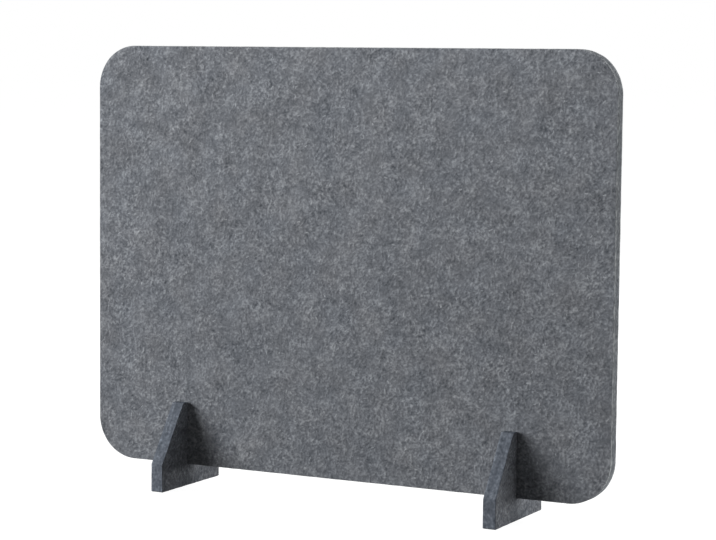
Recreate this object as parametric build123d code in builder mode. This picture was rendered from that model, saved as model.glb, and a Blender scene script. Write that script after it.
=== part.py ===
"""Free-standing acoustic divider screen for a desk top, in millimetres.

A rounded panel of pressed felt board stands upright in two feet that are cut from the same board.
Each foot has a deep slot down from its top, which grips the panel on both faces, and the panel's
bottom edge rests on the floor of the slot.

X runs along the panel's width, Y through its thickness with the front at -Y, and +Z is up.
The origin lies on the desk, midway between the feet and under the middle of the panel's thickness.
"""

import os

from build123d import *

# The felt board, which the panel and both feet share
board_thickness = 14.0
edge_rounding = 0.8

# The panel
panel_width = 600.0
panel_height = 450.0
panel_corner_radius = 45.0

# The feet: their web lies under the panel, and their shoulders stand up in front of it and behind it
foot_spacing = 386.0
foot_length = 118.0
foot_end_height = 30.0
foot_web_height = 23.0
foot_slot_depth = 68.0
foot_shoulder = 9.5

# How much wider the slot is than the board, and how far a cut runs on past the surface that it opens
slot_clearance = 0.3
overrun = 5.0

# Sizes and places that follow from these
slot_width = board_thickness + slot_clearance
foot_height = foot_web_height + foot_slot_depth
foot_top_length = board_thickness + 2 * foot_shoulder
panel_middle = foot_web_height + panel_height / 2
foot_places = {"foot_left": -foot_spacing / 2, "foot_right": foot_spacing / 2}


def make_panel():
    """The rounded board, its bottom edge on the floors of the slots."""
    with BuildPart() as panel:
        with BuildSketch(Plane.XZ):
            with Locations((0, panel_middle)):
                RectangleRounded(panel_width, panel_height, panel_corner_radius)
        extrude(amount=board_thickness / 2, both=True)
        fillet(panel.faces().filter_by(Axis.Y).edges(), radius=edge_rounding)
    return panel.part


def make_foot(place):
    """A foot standing across the panel, at its place along the width."""
    with BuildPart() as foot:
        with BuildSketch(Plane.YZ.offset(place)):
            with BuildLine():
                Polyline(
                    (0, 0),
                    (foot_length / 2, 0),
                    (foot_length / 2, foot_end_height),
                    (foot_top_length / 2, foot_height),
                    (0, foot_height),
                )
                mirror(about=Plane.YZ)
            make_face()
        extrude(amount=board_thickness / 2, both=True)
        fillet(foot.faces().filter_by(Axis.X).edges(), radius=edge_rounding)

        with BuildSketch(Plane.YZ.offset(place)):
            with Locations((0, foot_web_height)):
                Rectangle(slot_width, foot_slot_depth + overrun, align=(Align.CENTER, Align.MIN))
        extrude(amount=board_thickness / 2 + overrun, both=True, mode=Mode.SUBTRACT)
    return foot.part


def save(part, node):
    """Label a finished piece and write it under its own name."""
    part.label = node
    export_step(part, f"parts/{node}.step")


os.makedirs("parts", exist_ok=True)
save(make_panel(), "panel")
for node, place in foot_places.items():
    save(make_foot(place), node)
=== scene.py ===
import math
from functools import partial

import bpy
from mathutils import Matrix, Vector, kdtree, noise
from mathutils.geometry import delaunay_2d_cdt


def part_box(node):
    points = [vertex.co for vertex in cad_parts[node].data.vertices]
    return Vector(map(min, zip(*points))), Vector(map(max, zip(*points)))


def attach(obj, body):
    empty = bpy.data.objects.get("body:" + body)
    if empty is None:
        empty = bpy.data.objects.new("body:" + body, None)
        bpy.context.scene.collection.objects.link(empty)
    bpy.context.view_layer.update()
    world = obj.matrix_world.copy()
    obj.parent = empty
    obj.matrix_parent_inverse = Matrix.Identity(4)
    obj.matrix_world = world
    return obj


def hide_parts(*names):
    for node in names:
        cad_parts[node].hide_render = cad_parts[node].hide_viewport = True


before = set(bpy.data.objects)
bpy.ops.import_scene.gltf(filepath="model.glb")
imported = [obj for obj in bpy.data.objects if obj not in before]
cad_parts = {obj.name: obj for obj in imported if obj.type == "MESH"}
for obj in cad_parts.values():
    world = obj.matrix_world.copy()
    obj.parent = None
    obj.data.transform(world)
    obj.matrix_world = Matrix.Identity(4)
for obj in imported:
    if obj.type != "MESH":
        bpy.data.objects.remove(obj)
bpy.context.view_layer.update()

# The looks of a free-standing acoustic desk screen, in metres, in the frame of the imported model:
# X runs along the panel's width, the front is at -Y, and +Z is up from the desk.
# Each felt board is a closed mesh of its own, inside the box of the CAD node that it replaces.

millimetre = 0.001

# Shape of the boards: how their arrises and corners are rounded
arris_radius = 0.6 * millimetre
arris_steps = 6
panel_corner_radius = 45 * millimetre
foot_corner_radius = 1.3 * millimetre
slot_corner_radius = 0.6 * millimetre

# Lengths of a foot that its box doesn't give, and the play on each side of the panel in its slot
foot_end_height = 30 * millimetre
foot_shoulder = 9.5 * millimetre
slot_clearance = 0.15 * millimetre

# Distance from point to point of the meshes: over the faces, across the cut edges and along the outlines
panel_spacing = 2.7 * millimetre
foot_spacing = 1.4 * millimetre
band_spacing = 1.2 * millimetre
panel_outline_spacing = 0.8 * panel_spacing
foot_outline_spacing = band_spacing
fewest_arc_steps = 3

# How near a face's own points come to its rim, as a share of their spacing, and how near two points are one
rim_share = 0.6
same_point = 1e-9

# Relief of the felt: its depth and its wave lengths on a face and on a cut edge, whose layers are longer
# along the board than across it
face_relief = 0.30 * millimetre
cut_relief = 0.35 * millimetre
fine_ripple = 7 * millimetre
broad_ripple = 22 * millimetre
layer_ripple = 2.1 * millimetre
patch_ripple = 15 * millimetre
layer_stretch = 4
ripple_gain = 1.6

# Each kind of relief takes seeds of its own, this far apart
seed_step = 40

# The two material slots of a board
face_slot = 0
cut_slot = 1

# Colours of the felt, from its dark fibres to its light ones, and how far its hue drifts from place to place
felt_dark = (0.066, 0.073, 0.083)
felt_middle = (0.164, 0.173, 0.190)
felt_light = (0.338, 0.354, 0.376)
untinted = (1.0, 1.0, 1.0)
hue_drift = 0.05

# How the cut edges differ from the faces: by their tint, by a painted highlight on the fuzz just inside an
# arris, and by a painted tone on the rounding of the arris itself, a highlight on the panel and shade on the
# feet. Those of the feet are bluer, a tint that paints the bluish light falling on them, and darker
panel_cut = {"tint": (1.0, 1.0, 0.97), "painted_arris_highlight": 0.45, "painted_rounding_shading": 0.38}
# The feet's bluer tint paints the bluish light that falls on their cut edges
foot_cut = {"tint": (0.82, 0.87, 0.94), "painted_arris_highlight": 0.12, "painted_rounding_shading": -0.22}

# Two ways for grains to lie, as the angle from level and the angle over which they are spread
slanting = {"lay": math.radians(50), "spread": math.radians(130)}
level = {"lay": 0.0, "spread": math.radians(120)}

# Grains of a face: the size of the cells within which they lie one way, and their own length and width
coarse_grain = {"cell": 12 * millimetre, "length": 7.2 * millimetre, "width": 3.8 * millimetre, **slanting}
medium_grain = {"cell": 8 * millimetre, "length": 4.6 * millimetre, "width": 2.6 * millimetre, **slanting}
fine_grain = {"cell": 5 * millimetre, "length": 3.4 * millimetre, "width": 2.3 * millimetre, **level}

# Single fibres of a face: the same, with the share of the cells that have one
pale_fibre = {"cell": 10 * millimetre, "length": 4.4 * millimetre, "width": 0.9 * millimetre, "share": 0.20}
dusky_fibre = {"cell": 9.5 * millimetre, "length": 5 * millimetre, "width": 1 * millimetre, "share": 0.30}
lint_fibre = {"cell": 60 * millimetre, "length": 2.6 * millimetre, "width": 1 * millimetre, "share": 0.15}

# How far from its middle a fibre starts to fade and where it ends, as shares of its length
fibre_full = 0.3
fibre_end = 0.5

# Wave lengths of the softer patterns of a face: the specks, the clumps and the blotches, how strong the fuzz
# is from place to place, and the drift in hue
speck_wave = 4.5 * millimetre
clump_wave = 12 * millimetre
strength_wave = 24 * millimetre
strength_swing = 0.9
drift_wave = 35 * millimetre
blotch_wave = 38 * millimetre

# Wave lengths of a cut edge, with those through the board's thickness where they differ
layer_wave = 120 * millimetre
tuft_wave = 5 * millimetre
layer_thickness = 3.4 * millimetre
patch_wave = 14 * millimetre
cut_grain_wave = 2.4 * millimetre
break_wave = 9 * millimetre
break_thickness = 30 * millimetre

# Distances from the board's middle plane at which the painted highlight on the fuzz and the rounding start
# and are full, the noise between which that painted highlight breaks off, and how much darker a cut edge is
# than a face
highlight_start = 3.4 * millimetre
highlight_full = 5.8 * millimetre
rounding_start = 6.4 * millimetre
rounding_full = 6.9 * millimetre
highlight_gone = -0.20
highlight_whole = 0.10
cut_darkening = 0.07

# How far each seed moves a pattern, and how far apart the cells take their grains, in wave lengths
face_shift = (0.37, 0.21, 0.0)
cut_shift = (0.31, 0.17, 0.013)
cell_shift = (50.0, 50.0, 50.0)

# Fine relief of the shading
bump_strength = 0.5
bump_height = 1 * millimetre

# The camera that took the photograph, with its lens and sensor in millimetres
camera_azimuth = math.radians(27.22)
camera_elevation = math.radians(5.28)
camera_roll = math.radians(0.574)
camera_target = Vector((0.0120, 0.0054, 0.2430))
camera_distance = 2.369
camera_lens = 114.78
camera_sensor = 36.0
camera_near = 0.01
camera_far = 100.0

# The lamps: where each stands, what it points at, its width and height, and its radiance. The rear one
# lights the back, and the card lies on the desk just past the panel's right end, facing up
lamps = {
    "key": {"place": (-6.2, -5.1, 1.95), "aim": (0.0, 0.0, 0.2), "size": (6.1, 3.2), "radiance": 7.8},
    "left": {"place": (-1.3, -0.75, 0.45), "aim": (-0.1, 0.0, 0.25), "size": (0.7, 0.7), "radiance": 5.3},
    "top": {"place": (0.12, -0.36, 0.77), "aim": (0.0, 0.0, 0.22), "size": (0.36, 0.36), "radiance": 1.7},
    "right": {"place": (1.15, 0.5, 0.13), "aim": (0.15, 0.0, 0.1), "size": (1.3, 0.24), "radiance": 4.3},
    "low": {"place": (1.3, 0.22, 0.06), "aim": (0.15, 0.0, 0.06), "size": (0.9, 0.11), "radiance": 5.2},
    "high": {"place": (0.9, 0.5, 1.9), "aim": (0.1, 0.0, 0.2), "size": (0.9, 0.9), "radiance": 6.6},
    "rear": {"place": (-0.35, 1.6, 1.9), "aim": (0.0, 0.0, 0.3), "size": (0.9, 1.2), "radiance": 6.5},
    "card": {"place": (0.325, 0.07, 0.003), "aim": (0.325, 0.07, 1.0), "size": (0.07, 0.13), "radiance": 2.8},
}

# The watts that give a lamp of one square metre a radiance of 1
lamp_watts = 4

# The floor: its half width, the grey that it throws back on the object, and how light it is where the object
# shades it, as white is 1. It turns fully white between the two distances from the object
floor_reach = 30.0
floor_grey = (0.2, 0.2, 0.2, 1.0)
shadow_level = 0.955
white_start = 0.5
white_full = 1.5

# What is seen behind the object, and the faint light that comes from all around it
white = (1.0, 1.0, 1.0, 1.0)
surround_colour = (0.85, 0.92, 1.0, 1.0)
surround_strength = 0.005


def outline(corners, spacing):
    """Points along a closed outline and the outward direction at each.

    corners lists (point, radius) anticlockwise; a corner that turns the other way is a hollow one.
    """
    arcs = []
    for index, (corner, radius) in enumerate(corners):
        arriving = (corner - corners[index - 1][0]).normalized()
        leaving = (corners[(index + 1) % len(corners)][0] - corner).normalized()
        turn = -arriving.angle_signed(leaving)
        bulge = math.copysign(radius, turn)
        start = corner - arriving * radius * math.tan(abs(turn) / 2)
        outward = Vector((arriving.y, -arriving.x))
        centre = start - outward * bulge
        steps = max(fewest_arc_steps, math.ceil(radius * abs(turn) / spacing))
        arcs.append([])
        for step in range(steps + 1):
            facing = Matrix.Rotation(turn * step / steps, 2) @ outward
            arcs[-1].append((centre + facing * bulge, facing))

    points, directions = [], []
    for arc, following in zip(arcs, arcs[1:] + arcs[:1]):
        for point, facing in arc:
            points.append(point)
            directions.append(facing)
        last, facing = arc[-1]
        run = following[0][0] - last
        pieces = max(1, round(run.length / spacing))
        for piece in range(1, pieces):
            points.append(last + run * piece / pieces)
            directions.append(facing)
    return points, directions


def fill(loop, spacing):
    """Points inside a closed loop, on a triangular lattice, and the triangles that join them and the loop."""
    tree = kdtree.KDTree(len(loop))
    for index, point in enumerate(loop):
        tree.insert(point.to_3d(), index)
    tree.balance()
    low = Vector((min(p.x for p in loop), min(p.y for p in loop)))
    high = Vector((max(p.x for p in loop), max(p.y for p in loop)))
    row_height = spacing * math.sqrt(3) / 2
    lattice = []
    for row in range(int((high.y - low.y) / row_height) + 1):
        shift = spacing / 2 * (row % 2)
        for column in range(int((high.x - low.x) / spacing) + 1):
            point = low + Vector((column * spacing + shift, row * row_height))
            if tree.find(point.to_3d())[2] > rim_share * spacing:
                lattice.append(point)

    # Output type 1 keeps only the triangles inside the loop
    count = len(loop)
    edges = [(index, (index + 1) % count) for index in range(count)]
    points, _, triangles, sources, _, _ = delaunay_2d_cdt(loop + lattice, edges, [], 1, same_point)
    used = sorted({index for triangle in triangles for index in triangle if sources[index][0] >= count})
    number = {index: count + place for place, index in enumerate(used)}
    number.update({index: sources[index][0] for index in range(len(points)) if sources[index][0] < count})
    inner = [points[index] for index in used]
    return inner, [tuple(number[index] for index in triangle) for triangle in triangles]


def ripple(point, wave, seed):
    """Coherent noise from 0 to 1 at a point, in waves of about the given length."""
    swing = ripple_gain * noise.noise(point / wave + Vector((seed, 0, 0)))
    return 0.5 + 0.5 * max(-1.0, min(1.0, swing))


def face_sink(point, seed):
    """How far the felt's face lies below its highest fibres at a point."""
    fine = ripple(point, fine_ripple, seed)
    broad = ripple(point, broad_ripple, seed + seed_step)
    return face_relief * (0.6 * fine + 0.4 * broad)


def cut_sink(point, depth, seed):
    """The same on a cut edge, whose relief runs in thin layers along the board."""
    layered = Vector((point.x / layer_stretch, point.y / layer_stretch, depth))
    layers = ripple(layered, layer_ripple, seed + 2 * seed_step)
    patches = ripple(point, patch_ripple, seed + 3 * seed_step)
    return cut_relief * (0.7 * layers + 0.3 * patches)


def edge_profile(thickness):
    """The rings of a cut edge, from the front face to the back.

    Each is (inset from the outline, depth behind the front face, angle that it is turned from facing front).
    """
    arris = []
    for step in range(arris_steps + 1):
        angle = math.pi / 2 * step / arris_steps
        arris.append((arris_radius * (1 - math.sin(angle)), arris_radius * (1 - math.cos(angle)), angle))
    side = thickness - 2 * arris_radius
    side_steps = round(side / band_spacing)
    side_step = side / side_steps
    rings = [(0.0, arris_radius + step * side_step, math.pi / 2) for step in range(1, side_steps)]
    far_arris = [(inset, thickness - depth, math.pi - angle) for inset, depth, angle in reversed(arris)]
    return arris + rings + far_arris


def felt_board(name, corners, thickness, place, spacing, outline_spacing, seed):
    """A closed mesh of felt board, cut along an outline, whose faces all look outward.

    place turns (along, up, depth) into the frame, and depth runs away from whoever sees along run right
    and up run up.
    """
    points, directions = outline(corners, outline_spacing)
    profile = edge_profile(thickness)
    count = len(points)
    half = thickness / 2
    vertices, faces, slots = [], [], []

    for inset, depth, angle in profile:
        for point, facing in zip(points, directions):
            spot = point.to_3d() + Vector((0, 0, depth))
            cut_share = math.sin(angle) ** 2
            sink = cut_share * cut_sink(spot, depth, seed) + (1 - cut_share) * face_sink(spot, seed)
            flat = point - facing * (inset + sink * math.sin(angle))
            vertices.append(place(flat.x, flat.y, depth - half + sink * math.cos(angle)))
    for ring in range(len(profile) - 1):
        for index in range(count):
            after = (index + 1) % count
            here, there = ring * count, (ring + 1) * count
            faces.append((here + index, there + index, there + after, here + after))
            slots.append(cut_slot)

    rim = [point - facing * arris_radius for point, facing in zip(points, directions)]
    inner, triangles = fill(rim, spacing)
    for depth, ring, back in ((0.0, 0, False), (thickness, len(profile) - 1, True)):
        first = len(vertices)
        for point in inner:
            sink = face_sink(point.to_3d() + Vector((0, 0, depth)), seed)
            vertices.append(place(point.x, point.y, half - sink if back else sink - half))
        for triangle in triangles:
            face = [ring * count + index if index < count else first + index - count for index in triangle]
            faces.append(face[::-1] if back else face)
            slots.append(face_slot)

    mesh = bpy.data.meshes.new(name)
    mesh.from_pydata(vertices, [], faces)
    mesh.polygons.foreach_set("material_index", slots)
    mesh.polygons.foreach_set("use_smooth", [True] * len(faces))
    mesh.update()
    board = bpy.data.objects.new(name, mesh)
    bpy.context.scene.collection.objects.link(board)
    return board


class Graph:
    """Adds nodes to a material or the world and links them, so that a pattern reads as a formula."""

    def __init__(self, material):
        material.use_nodes = True
        self.tree = material.node_tree
        self.tree.nodes.clear()

    def node(self, kind, settings=(), **inputs):
        node = self.tree.nodes.new(kind)
        for name, value in dict(settings).items():
            setattr(node, name, value)
        for name, value in inputs.items():
            self.put(node.inputs[name.replace("_", " ")], value)
        return node

    def put(self, socket, value):
        if isinstance(value, bpy.types.NodeSocket):
            self.tree.links.new(value, socket)
        else:
            socket.default_value = value

    def math(self, operation, *values):
        node = self.tree.nodes.new("ShaderNodeMath")
        node.operation = operation
        for socket, value in zip(node.inputs, values):
            self.put(socket, value)
        return node.outputs[0]

    def vector(self, operation, *values):
        node = self.tree.nodes.new("ShaderNodeVectorMath")
        node.operation = operation
        for socket, value in zip(node.inputs, values):
            self.put(socket, value)
        return node.outputs[0]

    def noise(self, vector, detail=1.0, dimensions="2D"):
        """Noise about 0, one wave to a unit."""
        settings = {"noise_dimensions": dimensions}
        node = self.node("ShaderNodeTexNoise", settings, Vector=vector, Scale=1.0, Detail=detail)
        return self.math("SUBTRACT", node.outputs["Fac"], 0.5)

    def ramp(self, value, low, high):
        """0 below low, 1 above high."""
        node = self.node("ShaderNodeMapRange", {"interpolation_type": "SMOOTHSTEP"})
        for name, number in (("Value", value), ("From Min", low), ("From Max", high)):
            self.put(node.inputs[name], number)
        return node.outputs["Result"]


def weighted_sum(graph, terms):
    """The sum of (weight, value) terms."""
    total = 0.0
    for weight, value in terms:
        total = graph.math("MULTIPLY_ADD", value, weight, total)
    return total


def shifted(graph, sheet, shift, seed):
    """The sheet's coordinates, moved by the seed's own distance."""
    return graph.vector("ADD", sheet, [seed * part for part in shift])


def oriented(graph, sheet, seed, cell, lay, spread):
    """Coordinates about the middle of each random cell, turned at random within the spread about the lay,
    with the cell's random colour and a random share.
    """
    moved = shifted(graph, sheet, face_shift, seed)
    settings = {"voronoi_dimensions": "2D"}
    cells = graph.node("ShaderNodeTexVoronoi", settings, Vector=moved, Scale=1 / cell, Randomness=1.0)
    local = graph.vector("SUBTRACT", moved, cells.outputs["Position"])
    shade = graph.node("ShaderNodeSeparateColor", Color=cells.outputs["Color"])
    turn = graph.math("MULTIPLY_ADD", shade.outputs["Red"], spread, -lay - spread / 2)
    turned = graph.node("ShaderNodeVectorRotate", {"rotation_type": "Z_AXIS"}, Vector=local, Angle=turn)
    return turned.outputs["Vector"], cells.outputs["Color"], shade.outputs["Green"]


def grains(graph, sheet, seed, cell, length, width, lay, spread, detail=0.0):
    """Grains of felt, which lie one way within each cell."""
    turned, colour, _ = oriented(graph, sheet, seed, cell, lay, spread)
    stretched = graph.vector("MULTIPLY", turned, (1 / length, 1 / width, 0.0))
    apart = graph.vector("MULTIPLY", colour, cell_shift)
    return graph.noise(graph.vector("ADD", stretched, apart), detail)


def fibres(graph, sheet, seed, cell, length, width, share):
    """Single short fibres, one in each cell for a share of the cells."""
    turned, _, chance = oriented(graph, sheet, seed, cell, **slanting)
    split = graph.node("ShaderNodeSeparateXYZ", Vector=turned)
    along = graph.math("ABSOLUTE", split.outputs["X"])
    across = graph.math("ABSOLUTE", split.outputs["Y"])
    past_end = graph.ramp(along, length * fibre_full, length * fibre_end)
    inside_length = graph.math("SUBTRACT", 1.0, past_end)
    inside_width = graph.math("SUBTRACT", 1.0, graph.ramp(across, 0.0, width))
    chosen = graph.math("LESS_THAN", chance, share)
    return graph.math("MULTIPLY", graph.math("MULTIPLY", inside_length, inside_width), chosen)


def cloud(graph, sheet, wave, through=None, detail=1.0):
    """Soft noise with one wave length along and up the board, and its own through the board where given."""
    waves = (wave, wave, through or wave)
    return graph.noise(graph.vector("MULTIPLY", sheet, [1 / length for length in waves]), detail, "3D")


def sheet_coordinates(graph, axes, middle):
    """Object coordinates turned into (along, up, depth) of a board whose middle plane is at middle."""
    place = graph.node("ShaderNodeTexCoord").outputs["Object"]
    split = graph.node("ShaderNodeSeparateXYZ", Vector=place)
    along, up, through = (split.outputs[axis] for axis in axes)
    depth = graph.math("SUBTRACT", through, middle)
    return graph.node("ShaderNodeCombineXYZ", X=along, Y=up, Z=depth).outputs["Vector"]


def face_pattern(graph, sheet, seed):
    """Tone and height of the felt's face: specks and short crossing grains, fibres, clumps and blotches."""
    specks = cloud(graph, sheet, speck_wave, detail=0.7)
    coarse = grains(graph, sheet, seed + 1, **coarse_grain, detail=1.0)
    medium = grains(graph, sheet, seed + 2, **medium_grain)
    fine = grains(graph, sheet, seed + 3, **fine_grain)
    pale = fibres(graph, sheet, seed + 4, **pale_fibre)
    dusky = fibres(graph, sheet, seed + 5, **dusky_fibre)
    lint = fibres(graph, sheet, seed + 6, **lint_fibre)
    fuzz = weighted_sum(
        graph,
        [
            (0.50, specks),
            (0.31, coarse),
            (0.34, medium),
            (0.46, fine),
            (0.38, pale),
            (-0.13, dusky),
            (1.10, lint),
        ],
    )

    swing = cloud(graph, sheet, strength_wave, detail=0.0)
    strength = graph.math("MULTIPLY_ADD", swing, strength_swing, 1.0)
    clumps = cloud(graph, sheet, clump_wave)
    blotches = cloud(graph, sheet, blotch_wave)
    uneven = graph.math("MULTIPLY", fuzz, strength)
    tone = weighted_sum(graph, [(0.44, clumps), (0.23, blotches), (1.0, uneven)])
    height = weighted_sum(graph, [(0.8, specks), (0.5, coarse), (0.8, medium), (0.5, fine), (0.3, pale)])
    return tone, height


def cut_pattern(graph, sheet, seed, painted_arris_highlight, painted_rounding_shading):
    """Tone and height of a cut edge: layers that run along the board, a painted highlight on the fuzz just
    inside an arris, and a painted highlight or shade on the rounded arris itself.
    """
    moved = shifted(graph, sheet, cut_shift, seed)
    layers = cloud(graph, moved, layer_wave, layer_thickness, detail=0.0)
    tufts = cloud(graph, moved, tuft_wave, layer_thickness)
    patches = cloud(graph, moved, patch_wave)
    grain = cloud(graph, moved, cut_grain_wave, detail=0.0)

    depth = graph.node("ShaderNodeSeparateXYZ", Vector=sheet).outputs["Z"]
    off_middle = graph.math("ABSOLUTE", depth)
    # The rounding of the arris takes a painted tone: a painted highlight on the panel and painted shade on
    # the feet
    rounding = graph.ramp(off_middle, rounding_start, rounding_full)
    before_rounding = graph.math("SUBTRACT", 1.0, rounding)
    # A paler band just inside the arris, a painted highlight for the light that the fuzz there catches,
    # broken off by noise
    band = graph.math("MULTIPLY", graph.ramp(off_middle, highlight_start, highlight_full), before_rounding)
    unbroken = graph.ramp(cloud(graph, moved, break_wave, break_thickness), highlight_gone, highlight_whole)
    fuzz = graph.math("MULTIPLY", band, unbroken)

    tone = weighted_sum(
        graph,
        [
            (0.42, layers),
            (0.80, tufts),
            (0.33, patches),
            (0.50, grain),
            (painted_arris_highlight, fuzz),
            (painted_rounding_shading, rounding),
        ],
    )
    height = weighted_sum(graph, [(0.8, layers), (0.9, tufts), (0.4, grain)])
    return graph.math("SUBTRACT", tone, cut_darkening), height


def felt_material(name, axes, middle, pattern, tint, seed):
    """Heathered needle felt with one of the two patterns. tint turns its colours."""
    material = bpy.data.materials.new(name)
    graph = Graph(material)
    sheet = sheet_coordinates(graph, axes, middle)
    tone, height = pattern(graph, sheet, seed)

    # A tone of 0 is the middle colour
    colours = graph.node("ShaderNodeValToRGB", Fac=graph.math("ADD", tone, 0.5))
    stops = colours.color_ramp.elements
    stops.new(0.5)
    for stop, position, felt in zip(stops, (0.0, 0.5, 1.0), (felt_dark, felt_middle, felt_light)):
        stop.position = position
        stop.color = (*(part * share for part, share in zip(felt, tint)), 1.0)

    drift = cloud(graph, sheet, drift_wave)
    red_share = graph.math("MULTIPLY_ADD", drift, hue_drift, 1.0)
    blue_share = graph.math("MULTIPLY_ADD", drift, -hue_drift, 1.0)
    warmth = graph.node("ShaderNodeCombineXYZ", X=red_share, Y=1.0, Z=blue_share)
    heathered = graph.vector("MULTIPLY", colours.outputs["Color"], warmth.outputs["Vector"])

    bump = graph.node("ShaderNodeBump", Strength=bump_strength, Distance=bump_height, Height=height)
    shader = graph.node("ShaderNodeBsdfPrincipled", Base_Color=heathered, Normal=bump.outputs["Normal"])
    shader.inputs["Roughness"].default_value = 1.0
    shader.inputs["Specular IOR Level"].default_value = 0.0
    output = graph.node("ShaderNodeOutputMaterial")
    graph.put(output.inputs["Surface"], shader.outputs["BSDF"])
    return material


def dress(board, node, body, axes, middle, cut, seed):
    """Give a board its materials, in the order of its two slots, and put it in the place of its CAD node."""
    edge = partial(cut_pattern, painted_arris_highlight=cut["painted_arris_highlight"], painted_rounding_shading=cut["painted_rounding_shading"])
    for part, pattern, tint in (("face", face_pattern, untinted), ("cut", edge, cut["tint"])):
        board.data.materials.append(felt_material(f"{board.name}_{part}", axes, middle, pattern, tint, seed))
    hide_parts(node)
    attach(board, body)


def make_panel(seed):
    """The rounded panel."""
    low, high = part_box("panel")
    corners = [
        (Vector((low.x, low.z)), panel_corner_radius),
        (Vector((high.x, low.z)), panel_corner_radius),
        (Vector((high.x, high.z)), panel_corner_radius),
        (Vector((low.x, high.z)), panel_corner_radius),
    ]
    middle = (low.y + high.y) / 2
    thickness = high.y - low.y

    def place(along, up, depth):
        return (along, middle + depth, up)

    board = felt_board("panel_board", corners, thickness, place, panel_spacing, panel_outline_spacing, seed)
    dress(board, "panel", "screen", "XZY", middle, panel_cut, seed)


def make_foot(node, body, seed):
    """A foot, whose slot holds the panel."""
    low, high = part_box(node)
    panel_low, panel_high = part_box("panel")
    slot_half = (panel_high.y - panel_low.y) / 2 + slot_clearance
    top_half = (panel_high.y - panel_low.y) / 2 + foot_shoulder
    corners = [
        (Vector((low.y, low.z)), foot_corner_radius),
        (Vector((high.y, low.z)), foot_corner_radius),
        (Vector((high.y, low.z + foot_end_height)), foot_corner_radius),
        (Vector((top_half, high.z)), foot_corner_radius),
        (Vector((slot_half, high.z)), foot_corner_radius),
        (Vector((slot_half, panel_low.z)), slot_corner_radius),
        (Vector((-slot_half, panel_low.z)), slot_corner_radius),
        (Vector((-slot_half, high.z)), foot_corner_radius),
        (Vector((-top_half, high.z)), foot_corner_radius),
        (Vector((low.y, low.z + foot_end_height)), foot_corner_radius),
    ]
    middle = (low.x + high.x) / 2
    thickness = high.x - low.x

    def place(along, up, depth):
        return (middle - depth, along, up)

    board = felt_board(f"{node}_board", corners, thickness, place, foot_spacing, foot_outline_spacing, seed)
    dress(board, node, body, "YZX", middle, foot_cut, seed)


def make_camera():
    """The photograph's camera: where it stands, how it is turned and its lens."""
    back = Vector(
        (
            math.sin(camera_azimuth) * math.cos(camera_elevation),
            -math.cos(camera_azimuth) * math.cos(camera_elevation),
            math.sin(camera_elevation),
        )
    )
    sideways = (-back).cross(Vector((0, 0, 1))).normalized()
    upright = sideways.cross(-back)
    right = sideways * math.cos(camera_roll) + upright * math.sin(camera_roll)
    up = upright * math.cos(camera_roll) - sideways * math.sin(camera_roll)
    data = bpy.data.cameras.new("camera")
    data.sensor_fit = "HORIZONTAL"
    data.sensor_width = camera_sensor
    data.lens = camera_lens
    data.clip_start = camera_near
    data.clip_end = camera_far
    camera = bpy.data.objects.new("camera", data)
    bpy.context.scene.collection.objects.link(camera)
    turned = Matrix((right, up, back)).transposed().to_4x4()
    camera.matrix_world = Matrix.Translation(camera_target + back * camera_distance) @ turned
    bpy.context.scene.camera = camera


def make_lamp(name, place, aim, size, radiance):
    """A rectangular soft lamp, which the camera doesn't see."""
    data = bpy.data.lights.new(name, "AREA")
    data.shape = "RECTANGLE"
    width, height = size
    data.size = width
    data.size_y = height
    data.energy = lamp_watts * width * height * radiance
    lamp = bpy.data.objects.new(name, data)
    lamp.visible_camera = False
    bpy.context.scene.collection.objects.link(lamp)
    turned = (Vector(place) - Vector(aim)).to_track_quat("Z", "Y").to_matrix().to_4x4()
    lamp.matrix_world = Matrix.Translation(place) @ turned


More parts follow.
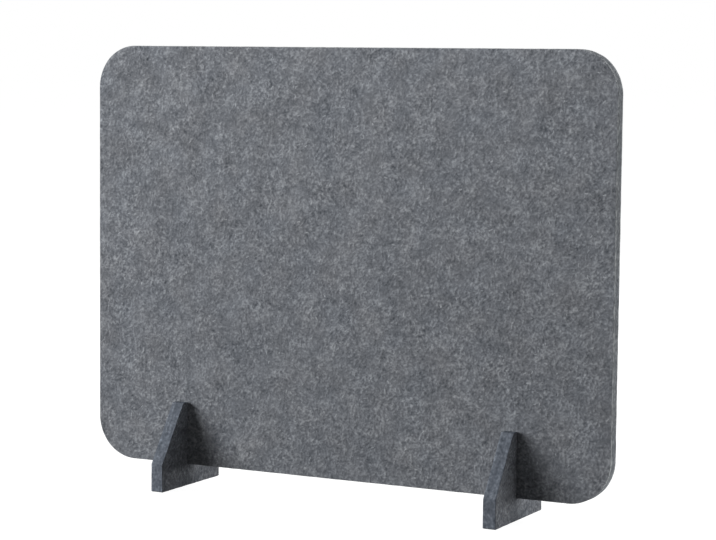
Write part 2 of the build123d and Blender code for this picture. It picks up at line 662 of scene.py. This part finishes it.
def seen_or_lit_by(graph, seen, lit_by):
    """One shader for what is seen straight, in a reflection or through glass, and one for all other rays."""
    rays = graph.node("ShaderNodeLightPath")
    either = graph.math("MAXIMUM", rays.outputs["Is Camera Ray"], rays.outputs["Is Glossy Ray"])
    direct = graph.math("MAXIMUM", either, rays.outputs["Is Transmission Ray"])
    chosen = graph.node("ShaderNodeMixShader", Fac=direct)
    graph.put(chosen.inputs[1], lit_by)
    graph.put(chosen.inputs[2], seen)
    return chosen.outputs[0]


def make_floor():
    """A white floor that keeps a faint shadow."""
    corners = [(-1, -1, 0), (1, -1, 0), (1, 1, 0), (-1, 1, 0)]
    mesh = bpy.data.meshes.new("floor")
    mesh.from_pydata([Vector(corner) * floor_reach for corner in corners], [], [(0, 1, 2, 3)])
    floor = bpy.data.objects.new("floor", mesh)
    bpy.context.scene.collection.objects.link(floor)

    material = bpy.data.materials.new("floor_white")
    graph = Graph(material)
    place = graph.node("ShaderNodeTexCoord").outputs["Object"]
    away = graph.node("ShaderNodeVectorMath", {"operation": "LENGTH"})
    graph.put(away.inputs[0], place)
    far_off = graph.ramp(away.outputs["Value"], white_start, white_full)
    glow = graph.math("MULTIPLY_ADD", far_off, 1 - shadow_level, shadow_level)
    grey = graph.node("ShaderNodeBsdfDiffuse", Color=floor_grey)
    glowing = graph.node("ShaderNodeEmission", Color=white, Strength=glow)
    shown = graph.node("ShaderNodeAddShader")
    graph.put(shown.inputs[0], grey.outputs[0])
    graph.put(shown.inputs[1], glowing.outputs[0])
    output = graph.node("ShaderNodeOutputMaterial")
    graph.put(output.inputs["Surface"], seen_or_lit_by(graph, shown.outputs[0], grey.outputs[0]))
    mesh.materials.append(material)


def make_surround():
    """A white background, which hardly lights the object."""
    world = bpy.data.worlds.new("studio")
    bpy.context.scene.world = world
    graph = Graph(world)
    dim = graph.node("ShaderNodeBackground", Color=surround_colour, Strength=surround_strength)
    bright = graph.node("ShaderNodeBackground", Color=white, Strength=1.0)
    output = graph.node("ShaderNodeOutputWorld")
    graph.put(output.inputs["Surface"], seen_or_lit_by(graph, bright.outputs[0], dim.outputs[0]))


make_panel(seed=3)
make_foot("foot_left", "left_foot", seed=31)
make_foot("foot_right", "right_foot", seed=43)
make_floor()
make_surround()
for name, values in lamps.items():
    make_lamp(name, **values)
make_camera()
bpy.context.scene.view_settings.view_transform = "Standard"
